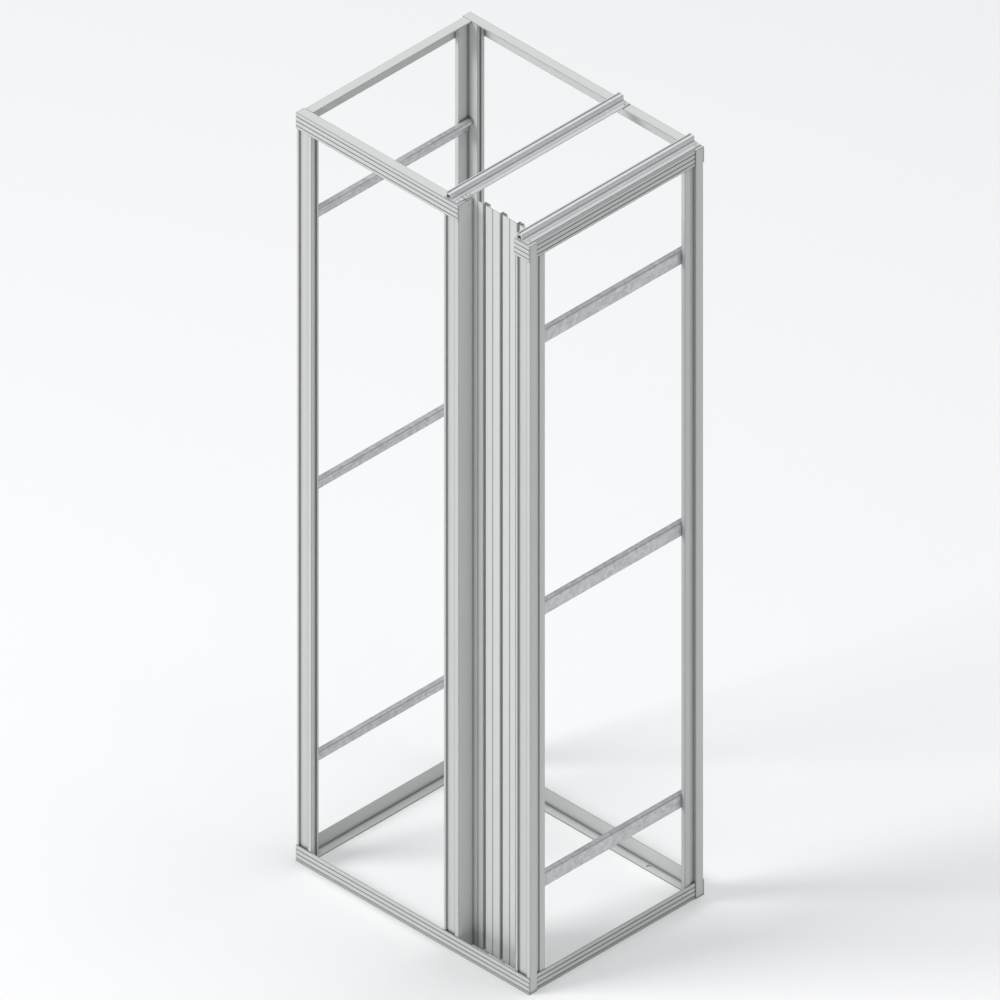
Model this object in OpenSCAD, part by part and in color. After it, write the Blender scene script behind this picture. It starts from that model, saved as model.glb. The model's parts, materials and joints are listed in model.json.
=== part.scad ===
// Open-frame rack: a welded frame of grooved angle beams and folded posts, with J-section side
// rails, two top rails, and a cable channel closed at the back by interlocking folded slats.
// X runs across the front, Y from front to rear and Z up, in millimetres.

/* [Frame] */
// Overall width, over the ends of the front and rear beams
frame_w = 800; // [760:5:1000]
// Overall depth, over the front and rear faces
frame_d = 600; // [500:5:1200]
// Height of the top beams above the floor
frame_h = 2223; // [1800:1:2600]

/* [Beams] */
// Height of a beam's outer face
beam_h = 47; // [42:0.5:60]
// Depth of a beam's flange
beam_depth = 28; // [26:0.5:40]
// Wall of a beam
beam_wall = 3; // [2.4:0.1:4]
// Radius of a top beam's outer corner
beam_round = 3.5; // [3:0.1:6]
// Radius of a free edge
edge_round = 1.2; // [0.4:0.1:1.4]
// Width of each groove along the outer face
line_w = 2.4; // [1:0.1:4]
// Depth of each groove
line_d = 1.2; // [0.4:0.1:1.6]
// Height of the lowest groove above the lower edge
line_z = 8.6; // [5:0.1:12]
// Spacing of the grooves
line_pitch = 13.4; // [8:0.1:15]
// Grooves on each beam
line_count = 3; // [1:1:3]
// Set-back of the side beams behind the ends of the front and rear beams
side_inset = 2.5; // [0.5:0.1:5]
// Length of the short top beam over the front right post
stub_l = 52; // [50:1:60]

/* [Floor holes] */
// Diameter of the floor bolt holes
floor_hole_d = 10; // [6:0.5:14]
// Distance of a floor hole from the beam's end
floor_hole_x = 175; // [80:5:300]
// Distance of a floor hole from the frame's outer face
floor_hole_y = 15.5; // [12:0.5:18]

/* [Posts] */
// Width of a post's face
post_w = 50; // [46:0.5:52]
// Sheet of a post
post_t = 2; // [1.5:0.1:2.5]
// Width of the lip left of the channel in a post's face
left_lip = 7; // [6.5:0.1:10]
// Width of the lip right of that channel
right_lip = 12.5; // [7.5:0.1:15]
// Depth of the channel in the face
face_groove_d = 5; // [3:0.1:6]
// Distance from the outer face plane to the groove in the inner side
side_groove_y = 14; // [12.5:0.1:14.5]
// Width of the groove in the inner side
side_groove_w = 8; // [5:0.1:8]
// Depth of the groove in the inner side
side_groove_d = 4; // [2:0.1:4]
// Thickness of the side leg
leg_t = 13; // [10:0.5:16]
// Reach of the side leg behind the post's body
leg_reach = 32; // [24:0.5:40]
// Width of the groove between the body and the leg, on the outer side
leg_groove_w = 13; // [8:0.5:16]
// Depth of that groove below the leg's outer face
leg_groove_d = 3; // [1:0.1:5]
// Bend radius of a post's edges
post_round = 1.2; // [0.4:0.1:1.4]
// Distance from the left end to the centre post
centre_x = 504; // [470:1:520]

/* [Side rails] */
// Height of a rail's long leg
rail_drop = 39; // [34:0.5:60]
// Width of a rail over its top
rail_depth = 17; // [14:0.5:30]
// Height of a rail's short lip
rail_lip = 10.4; // [7:0.1:14]
// Sheet of a rail
rail_t = 2; // [1.2:0.1:2.5]
// Inner bend radius of a rail
rail_bend = 2; // [0.5:0.1:3]
// Height of the lowest rail's top
rail_z = 318; // [150:1:450]
// Distance of the highest rail's top below the frame's top
rail_below_top = 291; // [150:1:450]
// Gap between a rail's end and the post
rail_gap = 0.5; // [0.3:0.1:1]

/* [Top rails] */
// Gap between the centre top rail and the bracket
top_rail_gap = 2.5; // [0.5:0.1:6]
// Distance of the right top rail from the frame's side
top_rail_edge = 7.5; // [3:0.5:11]
// Width of a top rail over its base
top_rail_w = 38.5; // [34:0.5:39]
// Width of a top rail's upright
upright_w = 17; // [14:0.5:20]
// Height of a top rail's upright
upright_h = 18; // [14:0.5:26]
// Thickness of a top rail's base
base_t = 3; // [2.4:0.1:4]
// Width of the thinner border of the base
border_w = 12; // [8:0.5:13]
// Step down to that border
border_step = 0.6; // [0.3:0.1:0.9]
// Wall of the upright
upright_t = 2.2; // [1.5:0.1:3]
// Radius of the upright's outer edge
upright_round = 6; // [2:0.5:8]
// Width of the slot along the upright's top
slot_w = 2.5; // [1:0.1:3]
// Depth of that slot
slot_d = 3; // [1:0.1:4]
// Distance of that slot from the upright's inner face
slot_x = 4.6; // [3:0.1:6]
// Set-back of the top rails' ends from the front and rear faces
top_rail_inset = 4; // [3.5:0.5:8]

/* [Cable channel] */
// Sheet of the slats
slat_t = 1.5; // [1:0.1:2]
// Distance from the front face to the slats
slat_y = 52; // [44:0.5:60]
// Width of the face at each end of the row
edge_face = 36; // [30:0.5:42]
// Gap between two slats
slat_gap = 7.5; // [6:0.1:9]
// Width of a slat's hook
hook_w = 16; // [14:0.1:20]
// Depth of a slat's hook
hook_d = 11.5; // [9:0.1:16]
// Depth of the tongue that a hook takes
tongue_d = 8; // [5:0.1:8.5]
// Inner bend radius of a slat
slat_bend = 0.8; // [0.4:0.1:1.5]
// Half width of the crease along a slat
crease_w = 2; // [1:0.1:4]
// Depth of that crease
crease_d = 1.2; // [0.4:0.1:2]

/* [Bracket] */
// Sheet of the bracket
bracket_t = 2; // [1.5:0.1:2.2]
// Length of the bracket along the top rail
bracket_l = 24; // [20:0.5:32]
// Drop of the bracket beside the channel's side plate
bracket_drop = 26; // [22:0.5:40]
// Reach of the bracket over the top rail's base
bracket_reach = 14; // [12:0.5:15]
// Gap between the front beam and the bracket
bracket_gap = 1.5; // [0.5:0.1:3]

/* [Screws] */
// Diameter of a rail screw
rail_screw_d = 5; // [4:0.5:6]
// Diameter of a rail screw's head
rail_head_d = 9; // [7:0.5:10]
// Height of a rail screw's head
rail_head_h = 2.8; // [2:0.1:4]
// Length of a rail screw under its head
rail_screw_l = 10; // [6:0.5:11]
// Diameter of a small screw
small_screw_d = 3; // [2:0.5:3.5]
// Diameter of a small screw's head
small_head_d = 6; // [5:0.5:7]
// Height of a small screw's head
small_head_h = 2; // [1.2:0.1:3]
// Length of a countersunk screw in a top rail
sunk_screw_l = 9; // [7:0.5:12]
// Clearance of a screw in its hole, on the diameter
screw_clear = 0.4; // [0.2:0.1:0.8]

/* [Hidden] */
$fn = 48;
// Overlap that a cut takes beyond the face it starts from
cut = 1;
paint = [0.80, 0.81, 0.80];
zinc = [0.66, 0.68, 0.70];
anodised = [0.74, 0.75, 0.76];
// Inner and outer faces of a post's side leg, from the frame's side
leg_out = side_inset + beam_wall;
leg_in = leg_out + leg_t;
leg_end = beam_depth + leg_reach;
leg_start = beam_depth + leg_groove_w;
// Lips of a post as drawn and of one that is mirrored, so that both come out alike from the front
plain_lips = [left_lip, right_lip];
mirrored_lips = [right_lip, left_lip];
post_h = frame_h - 2 * beam_wall;
// Side of the centre post, and the side of the right post that faces it
channel_left = centre_x + post_w;
channel_right = frame_w - post_w;
front_beam_l = channel_left + slat_t;
// Slats between the edge plate and the end slat, and the width of each
slat_count = 2;
slat_w = (channel_right - channel_left - 2 * edge_face - (slat_count + 1) * slat_gap) / slat_count;
side_beam_l = frame_d - 2 * beam_depth;
rail_l = frame_d - 2 * (beam_depth + rail_gap);
// Side rails at each side, evenly spaced between the lowest and the highest
rail_levels = 3;
rail_pitch = (frame_h - rail_z - rail_below_top) / (rail_levels - 1);
rail_screw_y = (leg_start + leg_end) / 2;
rail_screw_z = rail_drop / 2;
rail_hole_d = rail_screw_d + screw_clear;
small_hole_d = small_screw_d + screw_clear;
top_rail_l = frame_d - 2 * top_rail_inset;
top_rail_at = [channel_left - bracket_t - top_rail_gap - top_rail_w, frame_w - top_rail_edge - top_rail_w];
// Countersunk screws stand in the middle of the border, over the middle of the beam's hollow
sunk_x = top_rail_w - border_w / 2;
sunk_y = (beam_wall + beam_depth) / 2;
border_t = base_t - border_step;
bracket_y = beam_depth + bracket_gap;
bracket_left = channel_left - bracket_t - bracket_reach;
bracket_screw_y = [bracket_y + bracket_l / 4, bracket_y + 3 * bracket_l / 4];
bracket_screw_x = top_rail_at[0] + top_rail_w - border_w / 2;
bracket_screw_z = frame_h - bracket_drop / 2 - beam_wall;

// Outlines

function unit(v) = v / norm(v);
function left_of(v) = [-v.y, v.x];
function heading(path, i) = unit(path[i + 1] - path[i]);

// Points of one corner, rounded by an arc that touches both of its edges
function corner(a, p, b, r, steps = 4) =
    let (u = unit(a - p), v = unit(b - p), half = acos(u * v) / 2)
    let (centre = p + unit(u + v) * r / sin(half), sweep = 180 - 2 * half)
    let (from = unit(p + u * r / tan(half) - centre), to = unit(p + v * r / tan(half) - centre))
    [for (k = [0 : steps])
        centre + r * (sin(sweep * (1 - k / steps)) * from + sin(sweep * k / steps) * to) / sin(sweep)];

// A closed outline whose corners have the radii of the second list
function rounded(points, radii) =
    let (n = len(points))
    [for (i = [0 : n - 1])
        each radii[i] > 0
            ? corner(points[(i + n - 1) % n], points[i], points[(i + 1) % n], radii[i])
            : [points[i]]];

// A path moved sideways, mitred at its bends
function beside(path, d) =
    let (last = len(path) - 1)
    [for (i = [0 : last])
        let (back = heading(path, max(i - 1, 0)), ahead = heading(path, min(i, last - 1)))
        path[i] + d * (left_of(back) + left_of(ahead)) / (1 + back * ahead)];

// Bend radii on one side of a path; a bend of less than 60 degrees is a crease and stays sharp
function bend_radii(path, r, d) =
    let (last = len(path) - 1)
    [for (i = [0 : last])
        let (back = heading(path, max(i - 1, 0)), ahead = heading(path, min(i, last - 1)))
        back * ahead > 0.5 ? 0 : r - d * sign(cross(back, ahead))];

function reversed(list) = [for (i = [len(list) - 1 : -1 : 0]) list[i]];

// Outline of a sheet folded along a centre line
function folded(path, t, bend) =
    let (r = bend + t / 2)
    rounded(concat(beside(path, t / 2), reversed(beside(path, -t / 2))),
        concat(bend_radii(path, r, t / 2), reversed(bend_radii(path, r, -t / 2))));

// Sections

module face_lines() {
    for (i = [0 : line_count - 1])
        translate([-cut, line_z + i * line_pitch - line_w / 2])
            square([cut + line_d, line_w]);
}

module top_beam_section() {
    points = [[0, 0], [beam_wall, 0], [beam_wall, beam_h - beam_wall], [beam_depth, beam_h - beam_wall],
        [beam_depth, beam_h], [0, beam_h]];
    difference() {
        polygon(rounded(points, [0, 0, 0, 0, edge_round, beam_round]));
        face_lines();
    }
}

module bottom_beam_section() {
    points = [[0, 0], [beam_depth, 0], [beam_depth, beam_wall], [beam_wall, beam_wall],
        [beam_wall, beam_h], [0, beam_h]];
    difference() {
        polygon(rounded(points, [0, 0, edge_round, 0, 0, edge_round]));
        face_lines();
    }
}

// A post's outline, drawn inwards by a sheet's thickness for its hollow
function post_points(t, lips) =
    let (face = beam_wall + t, back = beam_depth - t)
    let (groove_left = lips[0] - t, groove_right = post_w - lips[1] + t)
    let (side_front = side_groove_y - t, side_back = side_groove_y + side_groove_w + t)
    let (side_floor = post_w - side_groove_d - t, leg_floor = leg_out + leg_groove_d + t)
    [[t, face], [groove_left, face], [groove_left, face + face_groove_d],
        [groove_right, face + face_groove_d], [groove_right, face], [post_w - t, face],
        [post_w - t, side_front], [side_floor, side_front], [side_floor, side_back],
        [post_w - t, side_back], [post_w - t, back], [leg_in - t, back],
        [leg_in - t, leg_end - t], [leg_out + t, leg_end - t], [leg_out + t, leg_start + t],
        [leg_floor, leg_start + t], [leg_floor, back], [t, back]];

// The corner between the body and the leg's inner face stays sharp, because the rails seat in it
function post_radii() =
    concat([for (i = [0 : 10]) post_round], [0], [for (i = [12 : 17]) post_round]);

module post_section(lips) {
    difference() {
        polygon(rounded(post_points(0, lips), post_radii()));
        polygon(post_points(post_t, lips));
    }
}

module rail_section() {
    middle = rail_t / 2;
    polygon(folded([[middle, 0], [middle, rail_drop - middle], [rail_depth - middle, rail_drop - middle],
        [rail_depth - middle, rail_drop - rail_lip]], rail_t, rail_bend));
}

module top_rail_section() {
    points = [[0, 0], [top_rail_w, 0], [top_rail_w, border_t], [top_rail_w - border_w, border_t],
        [top_rail_w - border_w, base_t], [upright_w, base_t], [upright_w, upright_h], [0, upright_h]];
    difference() {
        polygon(rounded(points, [0, 0, 0, 0, 0, edge_round, upright_round, edge_round]));
        translate([slot_x, upright_h - slot_d])
            square([slot_w, slot_d + cut]);
        translate([upright_t, base_t])
            square([upright_w - 2 * upright_t, upright_h - slot_d - upright_t - base_t]);
    }
}

// Pieces that repeat, in a frame with its origin at the front left corner on the floor

module to_centre() {
    translate([-frame_w / 2, -frame_d / 2, 0]) children();
}

module flip_x() {
    translate([frame_w, 0, 0]) mirror([1, 0, 0]) children();
}

module flip_y() {
    translate([0, frame_d, 0]) mirror([0, 1, 0]) children();
}

// A section drawn as depth and height, extruded along X
module along_x(length) {
    rotate([90, 0, 90]) linear_extrude(length) children();
}

// A section drawn as width and height, extruded along Y
module along_y(length) {
    translate([0, length, 0]) rotate([90, 0, 0]) linear_extrude(length) children();
}

module top_cross_beam(from, length) {
    color(paint) difference() {
        translate([from, 0, frame_h - beam_h]) along_x(length) top_beam_section();
        for (x = top_rail_at)
            translate([x + sunk_x, sunk_y, frame_h - beam_h])
                cylinder(h = beam_h + cut, d = small_hole_d);
    }
}

module bottom_cross_beam() {
    color(paint) difference() {
        along_x(frame_w) bottom_beam_section();
        for (x = [floor_hole_x, frame_w - floor_hole_x])
            translate([x, floor_hole_y, -cut])
                cylinder(h = beam_wall + 2 * cut, d = floor_hole_d);
    }
}

module top_side_beam() {
    color(paint)
        translate([side_inset, beam_depth, frame_h - beam_h]) along_y(side_beam_l) top_beam_section();
}

module bottom_side_beam() {
    color(paint)
        translate([side_inset, beam_depth, 0]) along_y(side_beam_l) bottom_beam_section();
}

module post(lips) {
    translate([0, 0, beam_wall]) linear_extrude(post_h) post_section(lips);
}

function rail_bottom(level) = rail_z + level * rail_pitch - rail_drop;

module corner_post(lips) {
    color(paint) difference() {
        post(lips);
        for (level = [0 : rail_levels - 1])
            translate([leg_in - post_t - cut, rail_screw_y, rail_bottom(level) + rail_screw_z])
                rotate([0, 90, 0]) cylinder(h = post_t + 2 * cut, d = rail_hole_d);
    }
}

module side_rail(level) {
    color(zinc) translate([leg_in, 0, rail_bottom(level)]) difference() {
        translate([0, beam_depth + rail_gap, 0]) along_y(rail_l) rail_section();
        for (y = [rail_screw_y, frame_d - rail_screw_y])
            translate([-cut, y, rail_screw_z])
                rotate([0, 90, 0]) cylinder(h = rail_t + 2 * cut, d = rail_hole_d);
    }
}

// A screw with its head's underside at the origin, pointing down
module pan_screw(d, length, head_d, head_h) {
    translate([0, 0, -length]) cylinder(h = length, d = d);
    rotate_extrude() intersection() {
        square([head_d / 2, head_h]);
        translate([0, head_h - head_d]) circle(d = 2 * head_d);
    }
}

module sunk_screw() {
    translate([0, 0, -sunk_screw_l]) cylinder(h = sunk_screw_l, d = small_screw_d);
    translate([0, 0, -border_t]) cylinder(h = border_t, d1 = small_screw_d, d2 = small_head_d);
}

module side_rail_screws() {
    for (level = [0 : rail_levels - 1], y = [rail_screw_y, frame_d - rail_screw_y])
        translate([leg_in + rail_t, y, rail_bottom(level) + rail_screw_z])
            rotate([0, 90, 0]) pan_screw(rail_screw_d, rail_screw_l, rail_head_d, rail_head_h);
}

module top_rail(x) {
    color(anodised) translate([x, 0, frame_h]) difference() {
        translate([0, top_rail_inset, 0]) along_y(top_rail_l) top_rail_section();
        for (y = [sunk_y, frame_d - sunk_y])
            translate([sunk_x, y, 0]) {
                translate([0, 0, -cut]) cylinder(h = base_t + 2 * cut, d = small_hole_d);
                cylinder(h = border_t, d1 = small_screw_d, d2 = small_head_d);
            }
    }
}

// Slats, drawn in plan along the centre line of the sheet

slat_mid = slat_y + slat_t / 2;
hook_mid = slat_y + hook_d - slat_t / 2;

function crease(x) = [[x - crease_w, slat_mid], [x, slat_mid + crease_d], [x + crease_w, slat_mid]];
function tongue(x) = [[x + slat_t / 2, slat_y + tongue_d], [x + slat_t / 2, slat_mid]];
function hook(x) = [[x - slat_t / 2, slat_mid], [x - slat_t / 2, hook_mid],
    [x - slat_t / 2 + hook_w, hook_mid], [x - slat_t / 2 + hook_w, slat_y + slat_t]];
function slat_left(i) = channel_left + edge_face + slat_gap + i * (slat_w + slat_gap);

module slat_sheet(path) {
    color(paint)
        translate([0, 0, beam_wall]) linear_extrude(post_h) polygon(folded(path, slat_t, slat_bend));
}

module middle_slat(i) {
    x = slat_left(i);
    slat_sheet(concat(tongue(x), crease(x + slat_w / 2), hook(x + slat_w)));
}

// Nodes

module front_top_beam() to_centre() top_cross_beam(0, front_beam_l);

module front_top_stub() to_centre() top_cross_beam(frame_w - stub_l, stub_l);

module rear_top_beam() to_centre() flip_y() top_cross_beam(0, frame_w);

module left_top_beam() to_centre() top_side_beam();

module right_top_beam() to_centre() flip_x() top_side_beam();

module front_bottom_beam() to_centre() bottom_cross_beam();

module rear_bottom_beam() to_centre() flip_y() bottom_cross_beam();

module left_bottom_beam() to_centre() bottom_side_beam();

module right_bottom_beam() to_centre() flip_x() bottom_side_beam();

module front_left_post() to_centre() corner_post(plain_lips);

module front_right_post() to_centre() flip_x() corner_post(mirrored_lips);

module rear_left_post() to_centre() flip_y() corner_post(plain_lips);

module rear_right_post() to_centre() flip_x() flip_y() corner_post(mirrored_lips);

module centre_post() to_centre() color(paint) translate([centre_x, 0, 0]) post(plain_lips);

module left_lower_rail() to_centre() side_rail(0);

module left_middle_rail() to_centre() side_rail(1);

module left_upper_rail() to_centre() side_rail(2);

module right_lower_rail() to_centre() flip_x() side_rail(0);

module right_middle_rail() to_centre() flip_x() side_rail(1);

module right_upper_rail() to_centre() flip_x() side_rail(2);

module centre_top_rail() to_centre() difference() {
    top_rail(top_rail_at[0]);
    for (y = bracket_screw_y)
        translate([bracket_screw_x, y, frame_h - cut])
            cylinder(h = base_t + 2 * cut, d = small_hole_d);
}

module right_top_rail() to_centre() top_rail(top_rail_at[1]);

module edge_plate() to_centre() color(paint) difference() {
    slat_sheet(concat([[channel_left + slat_t / 2, beam_wall], [channel_left + slat_t / 2, slat_mid]],
        crease(channel_left + edge_face / 2), hook(channel_left + edge_face)));
    for (y = bracket_screw_y)
        translate([channel_left - cut, y, bracket_screw_z])
            rotate([0, 90, 0]) cylinder(h = slat_t + 2 * cut, d = small_hole_d);
}

module first_slat() to_centre() middle_slat(0);

module second_slat() to_centre() middle_slat(slat_count - 1);

module end_slat() to_centre() {
    x = slat_left(slat_count);
    slat_sheet(concat(tongue(x), crease(x + edge_face / 2),
        [[channel_right - slat_t / 2, slat_mid], [channel_right - slat_t / 2, beam_wall]]));
}

module plate_bracket() to_centre() color(zinc) difference() {
    side = channel_left - bracket_t / 2;
    top = frame_h + border_t + bracket_t / 2;
    translate([0, bracket_y, 0]) along_y(bracket_l)
        polygon(folded([[side, frame_h - bracket_drop], [side, top], [bracket_left, top]],
            bracket_t, bracket_t / 2));
    for (y = bracket_screw_y) {
        translate([bracket_screw_x, y, frame_h])
            cylinder(h = base_t + bracket_t + cut, d = small_hole_d);
        translate([channel_left - bracket_t - cut, y, bracket_screw_z])
            rotate([0, 90, 0]) cylinder(h = bracket_t + 2 * cut, d = small_hole_d);
    }
}

module rail_screws() to_centre() color(zinc) {
    side_rail_screws();
    flip_x() side_rail_screws();
}

module top_rail_screws() to_centre() color(zinc)
    for (x = top_rail_at, y = [sunk_y, frame_d - sunk_y])
        translate([x + sunk_x, y, frame_h + border_t]) sunk_screw();

module bracket_screws() to_centre() color(zinc)
    for (y = bracket_screw_y) {
        translate([bracket_screw_x, y, frame_h + border_t + bracket_t])
            pan_screw(small_screw_d, bracket_t + border_t, small_head_d, small_head_h);
        translate([channel_left - bracket_t, y, bracket_screw_z])
            rotate([0, -90, 0])
                pan_screw(small_screw_d, bracket_t + slat_t, small_head_d, small_head_h);
    }

front_top_beam();
front_top_stub();
rear_top_beam();
left_top_beam();
right_top_beam();
front_bottom_beam();
rear_bottom_beam();
left_bottom_beam();
right_bottom_beam();
front_left_post();
front_right_post();
rear_left_post();
rear_right_post();
centre_post();
left_lower_rail();
left_middle_rail();
left_upper_rail();
right_lower_rail();
right_middle_rail();
right_upper_rail();
centre_top_rail();
right_top_rail();
edge_plate();
first_slat();
second_slat();
end_slat();
plate_bracket();
rail_screws();
top_rail_screws();
bracket_screws();
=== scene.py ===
# %% [markdown]
# # An open-frame rack
# The rack is a tall welded frame for rack-mounted equipment, with side rails, two top rails and a cable
# channel closed by folded slats. Its thirty pieces arrive already packed, in metres, at their real places.
# This lesson gives each of them its finish, swaps the plain screws for turned ones and adds the welds.

# %% Load the frame
import json
import math

import bpy
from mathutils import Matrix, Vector


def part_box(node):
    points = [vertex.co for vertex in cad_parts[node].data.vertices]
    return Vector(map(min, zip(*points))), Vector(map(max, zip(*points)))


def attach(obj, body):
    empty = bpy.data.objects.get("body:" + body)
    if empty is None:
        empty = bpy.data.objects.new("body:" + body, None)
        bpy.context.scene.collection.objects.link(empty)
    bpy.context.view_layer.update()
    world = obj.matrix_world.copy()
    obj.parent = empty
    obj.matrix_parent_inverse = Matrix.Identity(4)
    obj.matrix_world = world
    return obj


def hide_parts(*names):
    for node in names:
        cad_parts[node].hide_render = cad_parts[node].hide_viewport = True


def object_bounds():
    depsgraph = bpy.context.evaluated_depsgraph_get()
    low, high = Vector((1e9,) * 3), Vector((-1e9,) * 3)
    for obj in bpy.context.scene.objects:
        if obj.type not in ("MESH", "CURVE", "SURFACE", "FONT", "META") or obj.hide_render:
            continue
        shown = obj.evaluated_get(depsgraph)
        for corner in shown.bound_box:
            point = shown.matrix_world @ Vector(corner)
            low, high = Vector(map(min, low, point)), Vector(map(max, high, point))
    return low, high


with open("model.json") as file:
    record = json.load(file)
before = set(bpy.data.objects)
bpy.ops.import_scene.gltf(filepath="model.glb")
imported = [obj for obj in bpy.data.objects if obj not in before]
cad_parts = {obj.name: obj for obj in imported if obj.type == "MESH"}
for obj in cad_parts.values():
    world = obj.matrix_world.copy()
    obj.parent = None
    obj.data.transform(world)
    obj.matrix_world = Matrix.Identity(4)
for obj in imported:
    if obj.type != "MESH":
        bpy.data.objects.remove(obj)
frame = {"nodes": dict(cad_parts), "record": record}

MM = 0.001
cad_low, cad_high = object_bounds()
print("CAD nodes:", len(frame["nodes"]), "size:", [round(v, 4) for v in cad_high - cad_low])

# %% [markdown]
# ## The camera
# The picture is an isometric drawing: all three axes slope by thirty degrees and share one scale. An
# orthographic camera gives that exactly. It looks down from the front right corner, along the diagonal of
# a cube, and the drawing's scale sets the width of its view.

# %% Camera
PICTURE_WIDTH = 1000
MM_PER_PIXEL = 2.97
# The point of the rack's upright axis that the drawing has in its middle
AIM_HEIGHT = 1121.3 * MM
CAMERA_DISTANCE = 8.0

# Every axis of a cube seen along its diagonal looks shorter by this share
axis_share = math.sqrt(2 / 3)
towards_camera = Vector((1, -1, 1)).normalized()
lens = bpy.data.cameras.new("camera")
lens.type = "ORTHO"
lens.ortho_scale = PICTURE_WIDTH * MM_PER_PIXEL * MM * axis_share
camera = bpy.data.objects.new("camera", lens)
camera.rotation_mode = "QUATERNION"
camera.rotation_quaternion = (-towards_camera).to_track_quat("-Z", "Y")
camera.location = Vector((0, 0, AIM_HEIGHT)) + CAMERA_DISTANCE * towards_camera
bpy.context.scene.collection.objects.link(camera)
bpy.context.scene.camera = camera
print("camera view:", round(lens.ortho_scale, 3), "m wide")

# %% [markdown]
# ## Light
# A white studio: a large key light at the front left, a weaker fill at the right and an overhead light.
# Each of the three directions that the camera sees then has its own tone, as in a shaded drawing. The lamps
# are big, which keeps the shadows soft, and far away, which lights the whole floor alike. The Standard view
# leaves white as white, where Blender's usual film-like view would turn the floor grey.

# %% Lights
def softbox(name, place, target, size, watts):
    """A square area light that looks at a point."""
    lamp = bpy.data.lights.new(name, "AREA")
    lamp.size = size
    lamp.energy = watts
    box = bpy.data.objects.new(name, lamp)
    box.location = place
    box.rotation_euler = (Vector(target) - Vector(place)).to_track_quat("-Z", "Y").to_euler()
    bpy.context.scene.collection.objects.link(box)
    return box


middle = (0, 0, AIM_HEIGHT)
softbox("key", (-7.2, -11.7, 10.0), middle, size=6.5, watts=1500)
softbox("fill", (12.0, -3.0, 4.6), middle, size=6.5, watts=70)
softbox("overhead", (1.5, 2.4, 14.0), middle, size=8.5, watts=880)
bpy.context.scene.view_settings.view_transform = "Standard"

world = bpy.data.worlds.new("studio")
world.use_nodes = True
sky = world.node_tree.nodes["Background"]
sky.inputs["Color"].default_value = (0.95, 0.97, 1.0, 1.0)
sky.inputs["Strength"].default_value = 0.35
bpy.context.scene.world = world

# %% [markdown]
# ## Nodes as sums
# Finishes and screws are both made of nodes. A `Bench` holds one node tree and its `add` makes any node. A
# `Wire` is one output of a node, and sums on wires add Math nodes, so that a formula reads like a formula.

# %% Wires
class Wire:
    """One output socket. Sums on it add Math nodes to its tree."""

    def __init__(self, bench, socket):
        self.bench = bench
        self.socket = socket

    def math(self, operation, first, second):
        return self.bench.add("ShaderNodeMath", {"operation": operation}, {0: first, 1: second})

    def __add__(self, other):
        return self.math("ADD", self, other)

    def __sub__(self, other):
        return self.math("SUBTRACT", self, other)

    def __rsub__(self, other):
        return self.math("SUBTRACT", other, self)

    def __mul__(self, other):
        return self.math("MULTIPLY", self, other)

    def __truediv__(self, other):
        return self.math("DIVIDE", self, other)

    def __rtruediv__(self, other):
        return self.math("DIVIDE", other, self)

    def __pow__(self, other):
        return self.math("POWER", self, other)

    __radd__ = __add__
    __rmul__ = __mul__

    def cosine(self):
        return self.math("COSINE", self, 0.0)

    def sine(self):
        return self.math("SINE", self, 0.0)

    def larger(self, other):
        return self.math("MAXIMUM", self, other)

    def smaller(self, other):
        return self.math("MINIMUM", self, other)


# %% Benches
class Bench:
    """A node tree, with one way to add a node to it."""

    def __init__(self, tree):
        self.tree = tree

    def add(self, kind, settings=None, sockets=None, out=0):
        """Makes a node. Its settings are set first, then its sockets are linked or given values."""
        node = self.tree.nodes.new(kind)
        for name, value in (settings or {}).items():
            if name == "choices":
                while len(node.index_switch_items) < value:
                    node.index_switch_items.new()
            else:
                setattr(node, name, value)
        for key, value in (sockets or {}).items():
            if isinstance(value, Wire):
                self.tree.links.new(value.socket, node.inputs[key])
            else:
                node.inputs[key].default_value = value
        return Wire(self, node.outputs[out]) if len(node.outputs) else node

    def mix(self, share, first, second):
        """A colour between two colours."""
        return self.add("ShaderNodeMix", {"data_type": "RGBA"}, {0: share, 6: first, 7: second}, out=2)

    def vector(self, x, y, z):
        return self.add("ShaderNodeCombineXYZ", None, {0: x, 1: y, 2: z})

    def split(self, value, kind="ShaderNodeSeparateXYZ"):
        """The three parts of a vector or, with another kind of node, of a colour."""
        node = self.add(kind, None, {0: value}).socket.node
        return [Wire(self, socket) for socket in node.outputs]


# %% Finishes on a bench
def new_finish(name, constants):
    """A material with one Principled shader, whose even properties are set on its own sockets."""
    material = bpy.data.materials.new(name)
    material.use_nodes = True
    bench = Bench(material.node_tree)
    shader = material.node_tree.nodes["Principled BSDF"]
    for socket, value in constants.items():
        shader.inputs[socket].default_value = value
    return material, bench, shader


def join(bench, shader, socket, wire):
    bench.tree.links.new(wire.socket, shader.inputs[socket])


def shade(tone, share=1.0):
    """A tone made darker or lighter, as a colour that a socket takes."""
    return (*(part * share for part in tone), 1.0)


# %% [markdown]
# ## Powder coat
# The frame and the slats are steel, sprayed with a pale grey powder and baked. Up close the coat has the
# fine pebble of an orange's skin. From a step away it drifts a little in tone. Two things draw the outlines
# that the eye follows on such a frame. The first is painted shade in the grooves and the inner corners,
# found by an Ambient Occlusion node and tinted like dust, which also makes them a little rougher. The second
# is the melting powder drawing back from every sharp edge, where the coat is thin and rubs through to a
# darker grey. A Bevel node gives the normal of a rounded edge, so where it departs from the true normal there
# is an edge. Folds are rounded already, but all broad faces of the rack lie square to an axis, so a face that
# looks between the axes is part of a fold. The weld beads get the frame's coat with hardly any wear, because
# they are round all over and would turn dark.

# %% Painted shade and edges
EDGE_WIDTH = 2.6 * MM
EDGE_GAIN = 5.0
FOLD_GAIN = 4.0
SHADE_GAIN = 1.7


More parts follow.
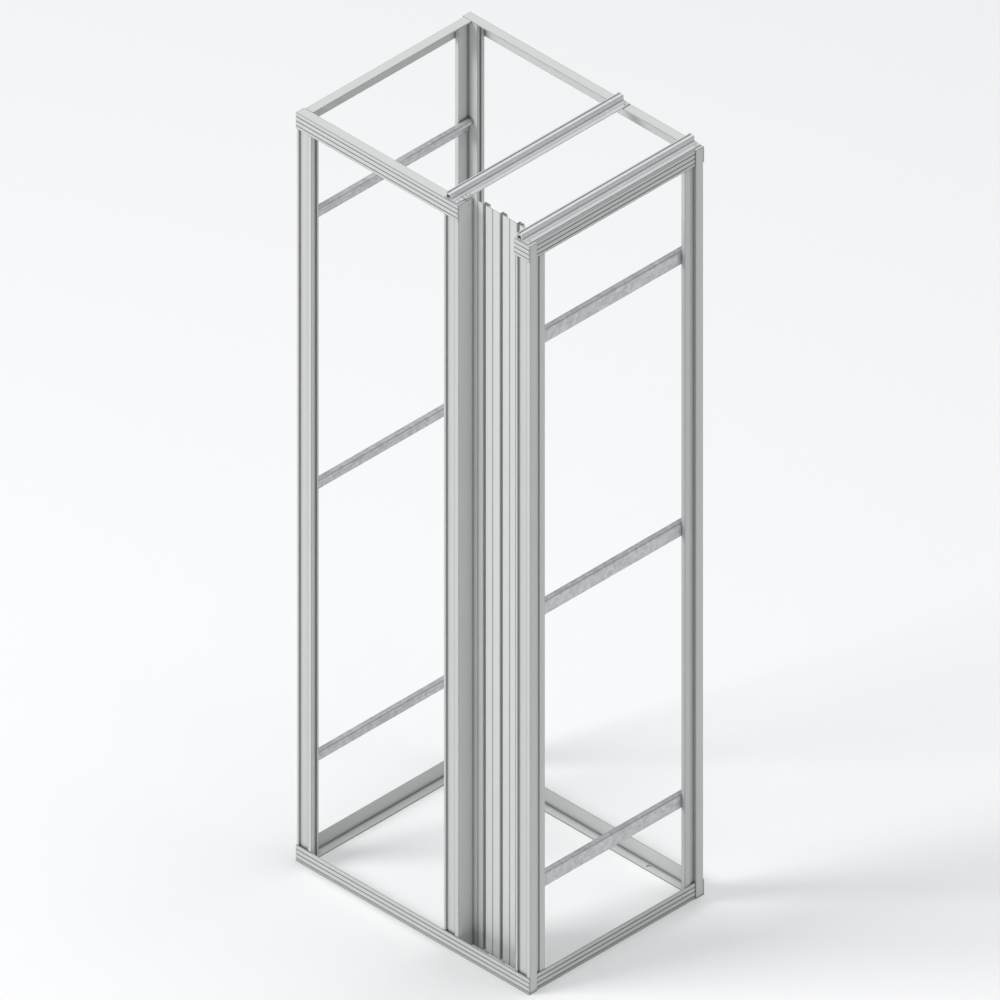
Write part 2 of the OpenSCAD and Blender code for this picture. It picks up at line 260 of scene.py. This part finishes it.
def painted_shade_and_dust(bench, reach):
    """Painted shade with a dust tint: from 0 in the open to 1 deep in a groove or a corner."""
    open_sky = bench.add("ShaderNodeAmbientOcclusion", {"samples": 8}, {"Distance": reach}, out="AO")
    return ((1.0 - open_sky) * SHADE_GAIN).smaller(1.0)


def sharp_edges(bench):
    """From 0 on a flat face to 1 along an edge."""
    eased = bench.add("ShaderNodeBevel", {"samples": 6}, {"Radius": EDGE_WIDTH})
    true = bench.add("ShaderNodeNewGeometry", out="True Normal")
    normals = {0: eased, 1: true}
    likeness = bench.add("ShaderNodeVectorMath", {"operation": "DOT_PRODUCT"}, normals, out="Value")
    x, y, z = bench.split(bench.add("ShaderNodeVectorMath", {"operation": "ABSOLUTE"}, {0: true}))
    squareness = x.larger(y).larger(z)
    return ((1.0 - likeness) * EDGE_GAIN + (1.0 - squareness) * FOLD_GAIN).smaller(1.0)


print("edges found over", round(EDGE_WIDTH / MM, 1), "mm")

# %% Powder coat
TONE_DRIFT = 0.05
RUBBED_SHARE = 0.26


def powder_coat(name, tone, shade_and_dust_tone, pebble, roughness, shade_reach, wear=1.0):
    """A coat that drifts in tone by a twentieth, with painted shade in its corners and worn edges."""
    material, bench, shader = new_finish(name, {"Specular IOR Level": 0.45})
    place = bench.add("ShaderNodeTexCoord", out="Object")
    drift = bench.add("ShaderNodeTexNoise", None, {"Vector": place, "Scale": 3.0, "Detail": 3.0})
    speck = bench.add("ShaderNodeTexNoise", None, {"Vector": place, "Scale": 900.0, "Detail": 1.0})
    skin = bench.add("ShaderNodeTexNoise", None, {"Vector": place, "Scale": pebble, "Detail": 2.0})
    dark, light = shade(tone, 1 - TONE_DRIFT), shade(tone, 1 + TONE_DRIFT)
    grey = bench.mix(drift * 0.7 + speck * 0.3, dark, light)
    edge = sharp_edges(bench)
    shade_and_dust = painted_shade_and_dust(bench, shade_reach)
    worn = bench.mix(edge * (0.5 + drift * 0.7) * wear, grey, shade(tone, RUBBED_SHARE))
    # The grooves and corners are mixed towards a dark, dust-tinted tone: this is painted shade.
    join(bench, shader, "Base Color", bench.mix(shade_and_dust * 0.85, worn, shade(shade_and_dust_tone)))
    join(bench, shader, "Roughness", roughness + (skin - 0.5) * 0.12 + shade_and_dust * 0.15 - edge * 0.06)
    bump = bench.add("ShaderNodeBump", None, {"Strength": 0.12, "Distance": 0.4 * MM, "Height": skin})
    join(bench, shader, "Normal", bump)
    return material


# The second tone of each pair is the dark, dust-tinted colour of the painted shade in the grooves and
# corners.
FRAME_TONE, FRAME_SHADE_TONE = (0.60, 0.61, 0.60), (0.16, 0.155, 0.145)
SLAT_TONE, SLAT_SHADE_TONE = (0.66, 0.67, 0.66), (0.18, 0.175, 0.165)
frame_look = {"tone": FRAME_TONE, "shade_and_dust_tone": FRAME_SHADE_TONE, "pebble": 650.0, "roughness": 0.46}
slat_look = {"tone": SLAT_TONE, "shade_and_dust_tone": SLAT_SHADE_TONE, "pebble": 420.0, "roughness": 0.38}
frame_coat = powder_coat("frame_coat", **frame_look, shade_reach=10 * MM)
slat_coat = powder_coat("slat_coat", **slat_look, shade_reach=8 * MM)
weld_coat = powder_coat("weld_coat", **frame_look, shade_reach=1 * MM, wear=0.12)
print("coats:", frame_coat.name, slat_coat.name, weld_coat.name)

# %% [markdown]
# ## Galvanised sheet
# The side rails and the bracket are folded from hot-dipped sheet. The zinc freezes into flat crystals, the
# spangle, each with its own sheen. Voronoi cells give the crystals, and every cell gets its own tone,
# roughness and slight tilt. The sheet is cut after dipping, so its edges are bare and darker.

# %% Galvanised sheet
def galvanised(name, spangle):
    """Zinc crystals, each with its own tone, roughness and tilt, and bare cut edges."""
    material, bench, shader = new_finish(name, {"Metallic": 0.6})
    place = bench.add("ShaderNodeTexCoord", out="Object")
    ragged = bench.add("ShaderNodeTexNoise", None, {"Vector": place, "Scale": 160.0, "Detail": 2.0}, out=1)
    bent = bench.add("ShaderNodeMix", {"data_type": "VECTOR"}, {0: 0.012, 4: place, 5: ragged}, out=1)
    crystal = bench.add("ShaderNodeTexVoronoi", None, {"Vector": bent, "Scale": spangle}, out="Color")
    sheen, matt, _ = bench.split(crystal, "ShaderNodeSeparateColor")
    haze = bench.add("ShaderNodeTexNoise", None, {"Vector": place, "Scale": 14.0, "Detail": 4.0})
    tone = bench.mix(sheen * 0.75 + haze * 0.25, shade((0.50, 0.52, 0.53)), shade((0.72, 0.74, 0.75)))
    edge = sharp_edges(bench)
    join(bench, shader, "Base Color", bench.mix(edge * 0.7, tone, shade((0.20, 0.20, 0.20))))
    join(bench, shader, "Roughness", 0.34 + matt * 0.14 + haze * 0.10 + edge * 0.1)
    bump = bench.add("ShaderNodeBump", None, {"Strength": 0.10, "Distance": 0.3 * MM, "Height": sheen})
    join(bench, shader, "Normal", bump)
    return material


rail_zinc = galvanised("galvanised_sheet", spangle=95.0)
print("sheet:", rail_zinc.name)

# %% [markdown]
# ## Anodised extrusion
# The top rails are pressed through a die, which draws fine lines along their length, and are then anodised
# to a silky grey. Noise that is stretched along the rail makes the lines: it varies fast across the rail
# and hardly at all along it.

# %% Anodised extrusion
def anodised(name):
    """Silky metal with die lines along Y, painted shade in its corners and rubbed edges."""
    material, bench, shader = new_finish(name, {"Metallic": 0.65})
    place = bench.add("ShaderNodeTexCoord", out="Object")
    stretched = bench.add("ShaderNodeMapping", None, {"Vector": place, "Scale": (1400.0, 5.0, 1400.0)})
    lines = bench.add("ShaderNodeTexNoise", None, {"Vector": stretched, "Scale": 1.0, "Detail": 3.0})
    cloud = bench.add("ShaderNodeTexNoise", None, {"Vector": place, "Scale": 8.0, "Detail": 3.0})
    tone = bench.mix(lines * 0.6 + cloud * 0.4, shade((0.70, 0.71, 0.72)), shade((0.82, 0.83, 0.84)))
    shade_and_dust = painted_shade_and_dust(bench, 5 * MM)
    edge = sharp_edges(bench)
    worn = bench.mix(edge * 0.5, tone, shade((0.24, 0.24, 0.25)))
    # The grooves and corners are mixed towards dark grey: this is painted shade.
    join(bench, shader, "Base Color", bench.mix(shade_and_dust * 0.8, worn, shade((0.14, 0.14, 0.14))))
    join(bench, shader, "Roughness", 0.44 + lines * 0.10 + cloud * 0.06)
    bump = bench.add("ShaderNodeBump", None, {"Strength": 0.05, "Distance": 0.1 * MM, "Height": lines})
    join(bench, shader, "Normal", bump)
    return material


top_rail_skin = anodised("top_rail_skin")
print("extrusion:", top_rail_skin.name)

# %% [markdown]
# ## Bright zinc
# Screws are zinc plated and passivated. The thin film tints the bright metal from straw to pale blue in
# soft patches.

# %% Bright zinc
def bright_zinc(name):
    """Bright plate with a film that turns from straw to pale blue."""
    material, bench, shader = new_finish(name, {"Metallic": 1.0})
    place = bench.add("ShaderNodeTexCoord", out="Object")
    film = bench.add("ShaderNodeTexNoise", None, {"Vector": place, "Scale": 260.0, "Detail": 2.0})
    grain = bench.add("ShaderNodeTexNoise", None, {"Vector": place, "Scale": 2400.0, "Detail": 1.0})
    tint = bench.mix(film, shade((0.66, 0.70, 0.78)), shade((0.76, 0.74, 0.66)))
    join(bench, shader, "Base Color", tint)
    join(bench, shader, "Roughness", 0.30 + grain * 0.16)
    bump = bench.add("ShaderNodeBump", None, {"Strength": 0.06, "Distance": 0.1 * MM, "Height": grain})
    join(bench, shader, "Normal", bump)
    return material


screw_zinc = bright_zinc("plated_zinc")
print("plating:", screw_zinc.name)

# %% [markdown]
# ## Dress the solids
# The record names the finish of every solid. Each CAD object keeps its mesh and takes the material of its
# slot, and the screws are swapped for turned ones in the next step.

# %% Dress the solids
FINISHES = {
    "frame_paint": frame_coat,
    "slat_paint": slat_coat,
    "rail_zinc": rail_zinc,
    "top_rail_aluminium": top_rail_skin,
    "screw_zinc": screw_zinc,
}
dressed = {}
for part in frame["record"]["subparts"]:
    solid = frame["nodes"][part["node"]]
    solid.data.materials.clear()
    solid.data.materials.append(FINISHES[part["material_slot"]])
    dressed[part["material_slot"]] = dressed.get(part["material_slot"], 0) + 1
print("dressed:", dressed)

# %% [markdown]
# ## Trees of geometry nodes
# A screw or a bead is made once, as a rule, and then set wherever the rack needs one. A geometry tree is
# that rule. It takes a light carrier mesh, points for screws or a line for a bead, and named sizes. The
# result is kept as a plain mesh, because an exported model knows nothing of trees.

# %% Start, end and run a tree
SHARP_ANGLE = math.radians(32)


def new_tree(name, sizes):
    """A geometry tree with a carrier, named sizes and a finish as its inputs. Returns its bench and wires."""
    tree = bpy.data.node_groups.new(name, "GeometryNodeTree")
    tree.interface.new_socket("Carrier", in_out="INPUT", socket_type="NodeSocketGeometry")
    tree.interface.new_socket("Result", in_out="OUTPUT", socket_type="NodeSocketGeometry")
    for size in sizes:
        tree.interface.new_socket(size, in_out="INPUT", socket_type="NodeSocketFloat")
    tree.interface.new_socket("Finish", in_out="INPUT", socket_type="NodeSocketMaterial")
    bench = Bench(tree)
    entry = tree.nodes.new("NodeGroupInput")
    return bench, {socket.name: Wire(bench, socket) for socket in entry.outputs if socket.name}


def end_tree(bench, shape, finish):
    """Makes the instances real, eases the shading but not the sharp edges, and sets the finish."""
    real = bench.add("GeometryNodeRealizeInstances", None, {"Geometry": shape})
    smooth = bench.add("GeometryNodeSetShadeSmooth", {"domain": "FACE"}, {"Geometry": real})
    angle = bench.add("GeometryNodeInputMeshEdgeAngle", out="Unsigned Angle")
    crisp = bench.add("FunctionNodeCompare", {"operation": "GREATER_THAN"}, {0: angle, 1: SHARP_ANGLE})
    shaded = bench.add("GeometryNodeSetShadeSmooth", {"domain": "EDGE"},
                       {"Geometry": smooth, "Selection": crisp, "Shade Smooth": False})
    done = bench.add("GeometryNodeSetMaterial", None, {"Geometry": shaded, "Material": finish})
    bench.add("NodeGroupOutput", None, {"Result": done})


def run_tree(name, bench, carrier, values):
    """Runs a tree on a carrier mesh and keeps what it makes as a plain mesh."""
    piece = bpy.data.objects.new(name, carrier)
    bpy.context.scene.collection.objects.link(piece)
    step = piece.modifiers.new("tree", "NODES")
    step.node_group = bench.tree
    for item in bench.tree.interface.items_tree:
        if item.in_out == "INPUT" and item.name in values:
            step[item.identifier] = values[item.name]
    seen = piece.evaluated_get(bpy.context.evaluated_depsgraph_get())
    made = bpy.data.meshes.new_from_object(seen)
    piece.modifiers.remove(step)
    piece.data = made
    print(name + ":", len(made.polygons), "faces")
    return piece


# %% [markdown]
# ## A turned screw
# A screw is turned on a lathe, so a grid can be wrapped into one: one side of the grid becomes the angle
# and the other steps along the profile, from the middle of the recess over the head and down the shank to
# the tip. An Index Switch holds the radius and the height of each step. In the recess the radius also
# waves six times round, for a six-lobed driver. The thread is a diamond swept along a helix.

# %% Screw profile
# The thread stands out from the core by a share of its pitch, and the tip is a share of the shank's radius
TOOTH_SHARE = 0.45
TIP_SHARE = 0.4


def screw_profile(given):
    """Steps along half of the screw's section: radius, height and how much the lobes shape it."""
    top, dome = given["Head Height"], given["Dome Radius"]
    head, shank, length = given["Head Radius"], given["Shank Radius"], given["Length"]
    recess, floor_z = given["Recess Radius"], given["Head Height"] - given["Recess Depth"]
    core = shank - given["Pitch"] * TOOTH_SHARE
    tip = shank * TIP_SHARE

    def crown(radius):
        """Height of the domed head at a radius."""
        return top - dome + (dome ** 2.0 - radius ** 2.0) ** 0.5

    recess_steps = [(0.0, floor_z, 0.0), (recess * 0.9, floor_z, 1.0), (recess, crown(recess), 1.0)]
    head_steps = [(radius, crown(radius), 0.0) for radius in ((recess + head) * 0.5, head * 0.93, head)]
    shank_steps = [(head, 0.0, 0.0), (core, 0.0 - given["Cone"], 0.0), (core, tip - length, 0.0)]
    tip_steps = [(core * 0.6, 0.0 - length, 0.0), (0.0, 0.0 - length, 0.0)]
    return recess_steps + head_steps + shank_steps + tip_steps


# %% Screw body
SEGMENTS = 36
LOBES = 6
LOBE_SHARE = 0.13
MERGE_DISTANCE = 0.002 * MM


def wrapped_grid(bench, profile):
    """A grid wrapped round the axis, with one row of points for each step of the profile."""
    steps = len(profile)
    counts = {"Size X": 1.0, "Size Y": 1.0, "Vertices X": SEGMENTS + 1, "Vertices Y": steps}
    grid = bench.add("GeometryNodeMeshGrid", None, counts)
    across, along, _ = bench.split(bench.add("GeometryNodeInputPosition"))
    angle = (across + 0.5) * math.tau
    row = bench.add("FunctionNodeFloatToInt", {"rounding_mode": "ROUND"}, {0: (along + 0.5) * (steps - 1.0)})
    choice = {"Index": row}
    for number, step in enumerate(profile):
        choice[str(number)] = bench.vector(*step)
    station = bench.add("GeometryNodeIndexSwitch", {"data_type": "VECTOR", "choices": steps}, choice)
    radius, height, lobes = bench.split(station)
    reach = radius * (1.0 + lobes * LOBE_SHARE * (angle * LOBES).cosine())
    spot = bench.vector(reach * angle.cosine(), reach * angle.sine(), height)
    turned = bench.add("GeometryNodeSetPosition", None, {"Geometry": grid, "Position": spot})
    closed = bench.add("GeometryNodeMergeByDistance", None, {"Geometry": turned, "Distance": MERGE_DISTANCE})
    return bench.add("GeometryNodeFlipFaces", None, {"Mesh": closed})


# %% Screw thread
def thread(bench, given):
    """A diamond swept along a helix, from the tip to just below the head."""
    tooth = given["Pitch"] * TOOTH_SHARE
    tip = given["Shank Radius"] * TIP_SHARE
    rise = given["Length"] - given["Cone"] - tip - given["Pitch"]
    inner = given["Shank Radius"] - tooth
    turns = {"Resolution": 18, "Rotations": rise / given["Pitch"], "Height": rise,
             "Start Radius": inner, "End Radius": inner}
    helix = bench.add("GeometryNodeCurveSpiral", None, turns)
    level = bench.add("GeometryNodeSetCurveNormal", {"mode": "Z_UP"}, {"Curve": helix})
    diamond = bench.add("GeometryNodeCurvePrimitiveCircle", None, {"Resolution": 4, "Radius": tooth})
    swept = bench.add("GeometryNodeCurveToMesh", None,
                      {"Curve": level, "Profile Curve": diamond, "Fill Caps": True})
    low = bench.vector(0.0, 0.0, tip - given["Length"])
    return bench.add("GeometryNodeTransform", None, {"Geometry": swept, "Translation": low})


# %% Screw tree
SCREW_SIZES = ("Head Radius", "Head Height", "Dome Radius", "Cone", "Shank Radius", "Length", "Pitch",
               "Recess Radius", "Recess Depth")
screw_bench, screw_inputs = new_tree("turned_screw", SCREW_SIZES)
body = wrapped_grid(screw_bench, screw_profile(screw_inputs))
whole = screw_bench.add("GeometryNodeJoinGeometry", None, {"Geometry": body})
screw_bench.tree.links.new(thread(screw_bench, screw_inputs).socket, whole.socket.node.inputs["Geometry"])
aim = screw_bench.add("GeometryNodeInputNamedAttribute", {"data_type": "FLOAT_VECTOR"}, {"Name": "aim"})
turn = screw_bench.add("FunctionNodeAlignRotationToVector", {"axis": "Z"}, {"Vector": aim})
screws = screw_bench.add("GeometryNodeInstanceOnPoints", None,
                         {"Points": screw_inputs["Carrier"], "Instance": whole, "Rotation": turn})
end_tree(screw_bench, screws, screw_inputs["Finish"])
print("screw tree:", len(screw_bench.tree.nodes), "nodes")

# %% [markdown]
# ## Set the screws
# Twelve pan-head screws hold the side rails to the posts, four countersunk screws hold the top rails, and
# four small ones hold the bracket. Each group's box gives the places: a head's radius in from the ends of
# the box is the axis of a screw. The plain screws stay in the CAD model and are hidden here.

# %% Screw sizes
PAN_5 = {"Head Radius": 4.5 * MM, "Head Height": 2.8 * MM, "Dome Radius": 9 * MM, "Cone": 0.0,
         "Shank Radius": 2.5 * MM, "Length": 10 * MM, "Pitch": 0.8 * MM,
         "Recess Radius": 2.1 * MM, "Recess Depth": 1.9 * MM}
SUNK_3 = {"Head Radius": 3 * MM, "Head Height": 0.0, "Dome Radius": 1.0, "Cone": 2.4 * MM,
          "Shank Radius": 1.5 * MM, "Length": 9 * MM, "Pitch": 0.5 * MM,
          "Recess Radius": 1.3 * MM, "Recess Depth": 1.2 * MM}
TOP_3 = {"Head Radius": 3 * MM, "Head Height": 2 * MM, "Dome Radius": 6 * MM, "Cone": 0.0,
         "Shank Radius": 1.5 * MM, "Length": 4.4 * MM, "Pitch": 0.5 * MM,
         "Recess Radius": 1.35 * MM, "Recess Depth": 1.3 * MM}
SIDE_3 = {**TOP_3, "Length": 3.5 * MM}
print("screw lengths in mm:", [round(kind["Length"] / MM, 1) for kind in (PAN_5, SUNK_3, TOP_3, SIDE_3)])


# %% Seats and screws
def seats(points, aim_at):
    """A carrier mesh of points, each with the direction in which its screw's head looks."""
    carrier = bpy.data.meshes.new("seats")
    carrier.from_pydata(points, [], [])
    aims = carrier.attributes.new("aim", "FLOAT_VECTOR", "POINT")
    for entry, point in zip(aims.data, points):
        entry.vector = aim_at(point)
    return carrier


def set_screws(name, node, kinds):
    """Screws of one or more kinds, joined as one piece that stands for a node."""
    made = [run_tree(name, screw_bench, carrier, {**sizes, "Finish": screw_zinc}) for sizes, carrier in kinds]
    piece = made[0]
    if len(made) > 1:
        with bpy.context.temp_override(active_object=piece, selected_editable_objects=made):
            bpy.ops.object.join()
    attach(piece, "root")
    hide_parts(node)
    return piece


# %% Rail screws
low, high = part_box("rail_screws")
head, grip = PAN_5["Head Radius"], PAN_5["Length"]
sides = (low[0] + grip, high[0] - grip)
ends = (low[1] + head, high[1] - head)
levels = (low[2] + head, (low[2] + high[2]) / 2, high[2] - head)
points = [(x, y, z) for x in sides for y in ends for z in levels]
rail_seats = seats(points, lambda point: (1 if point[0] < 0 else -1, 0, 0))
set_screws("turned_rail_screws", "rail_screws", [(PAN_5, rail_seats)])

# %% Top rail screws
low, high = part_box("top_rail_screws")
head = SUNK_3["Head Radius"]
points = [(x, y, high[2]) for x in (low[0] + head, high[0] - head) for y in (low[1] + head, high[1] - head)]
top_rail_seats = seats(points, lambda point: (0, 0, 1))
set_screws("turned_top_rail_screws", "top_rail_screws", [(SUNK_3, top_rail_seats)])

# %% Bracket screws
low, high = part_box("bracket_screws")
head = TOP_3["Head Radius"]
rows = (low[1] + head, high[1] - head)
upper = seats([(low[0] + head, y, high[2] - TOP_3["Head Height"]) for y in rows], lambda point: (0, 0, 1))
side = seats([(high[0] - SIDE_3["Length"], y, low[2] + head) for y in rows], lambda point: (-1, 0, 0))
set_screws("turned_bracket_screws", "bracket_screws", [(TOP_3, upper), (SIDE_3, side)])

# %% [markdown]
# ## Weld beads
# Each corner post is welded to the beams at its foot and at its head, on the inside, where the seam doesn't
# show from the front. A bead is a row of small overlapping puddles. The second tree follows a line, lets the
# radius rise and fall along it, and sweeps a circle: the ripples come from the sine of the length.

# %% Weld tree
RING_POINTS = 10
STEPS_PER_RIPPLE = 4
bead_bench, bead_inputs = new_tree("weld_bead", ("Bead Radius", "Ripple", "Ripple Pitch"))
line = bead_bench.add("GeometryNodeMeshToCurve", None, {"Mesh": bead_inputs["Carrier"]})
fine = bead_bench.add("GeometryNodeResampleCurve", {"mode": "LENGTH"},
                      {"Curve": line, "Length": bead_inputs["Ripple Pitch"] / STEPS_PER_RIPPLE})
length = bead_bench.add("GeometryNodeSplineParameter", out="Length")
ripple = 1.0 + bead_inputs["Ripple"] * (length * math.tau / bead_inputs["Ripple Pitch"]).sine()
ring = bead_bench.add("GeometryNodeCurvePrimitiveCircle", None,
                      {"Resolution": RING_POINTS, "Radius": bead_inputs["Bead Radius"]})
bead = bead_bench.add("GeometryNodeCurveToMesh", None,
                      {"Curve": fine, "Profile Curve": ring, "Scale": ripple, "Fill Caps": True})
end_tree(bead_bench, bead, bead_inputs["Finish"])
print("bead tree:", len(bead_bench.tree.nodes), "nodes")

# %% Lay the beads
BEAD_END = 2 * MM
BEAD = {"Bead Radius": 1.7 * MM, "Ripple": 0.14, "Ripple Pitch": 2.6 * MM, "Finish": weld_coat}
half_w, half_d = cad_high[0], cad_high[1]
post_low, post_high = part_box("front_left_post")
flange_low, flange_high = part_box("left_bottom_beam")
sheet = post_low[2]
# Distances of the seam from the rack's side and from its front or rear face
flange_edge = flange_high[0] + half_w - BEAD_END
leg_outer = flange_low[0] + half_w + sheet + BEAD_END
leg_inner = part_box("left_lower_rail")[0][0] + half_w
leg_end = post_high[1] + half_d
body_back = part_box("front_bottom_beam")[1][1] + half_d
route = [(flange_edge, body_back), (leg_inner, body_back), (leg_inner, leg_end), (leg_outer, leg_end)]
print("seam in mm:", [(round(x / MM, 1), round(y / MM, 1)) for x, y in route])

spots, links = [], []
for side_x in (-1, 1):
    for side_y in (-1, 1):
        for z in (sheet, post_high[2]):
            start = len(spots)
            spots += [(side_x * (half_w - x), side_y * (half_d - y), z) for x, y in route]
            links += [(start + k, start + k + 1) for k in range(len(route) - 1)]
seams = bpy.data.meshes.new("seams")
seams.from_pydata(spots, links, [])
welds = run_tree("corner_welds", bead_bench, seams, BEAD)
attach(welds, "root")

# %% [markdown]
# ## Floor
# A plain pale floor catches the soft shadows. It is part of the stage, not of the rack.

# %% Floor
FLOOR_HALF = 14.0
floor_mesh = bpy.data.meshes.new("floor")
corners = [(-FLOOR_HALF, -FLOOR_HALF, 0), (FLOOR_HALF, -FLOOR_HALF, 0),
           (FLOOR_HALF, FLOOR_HALF, 0), (-FLOOR_HALF, FLOOR_HALF, 0)]
floor_mesh.from_pydata(corners, [], [(0, 1, 2, 3)])
floor_finish, _, floor_shader = new_finish("floor_white", {"Roughness": 0.7, "Specular IOR Level": 0.2})
floor_shader.inputs["Base Color"].default_value = (0.95, 0.95, 0.95, 1.0)
floor_mesh.materials.append(floor_finish)
floor = bpy.data.objects.new("floor", floor_mesh)
bpy.context.scene.collection.objects.link(floor)
print("floor:", 2 * FLOOR_HALF, "m square")

# %% [markdown]
# ## Finish
# Dressing must not change the rack's size. The last cell brings the scene up to date and hands it over.

# %% Finish
bpy.context.view_layer.update()
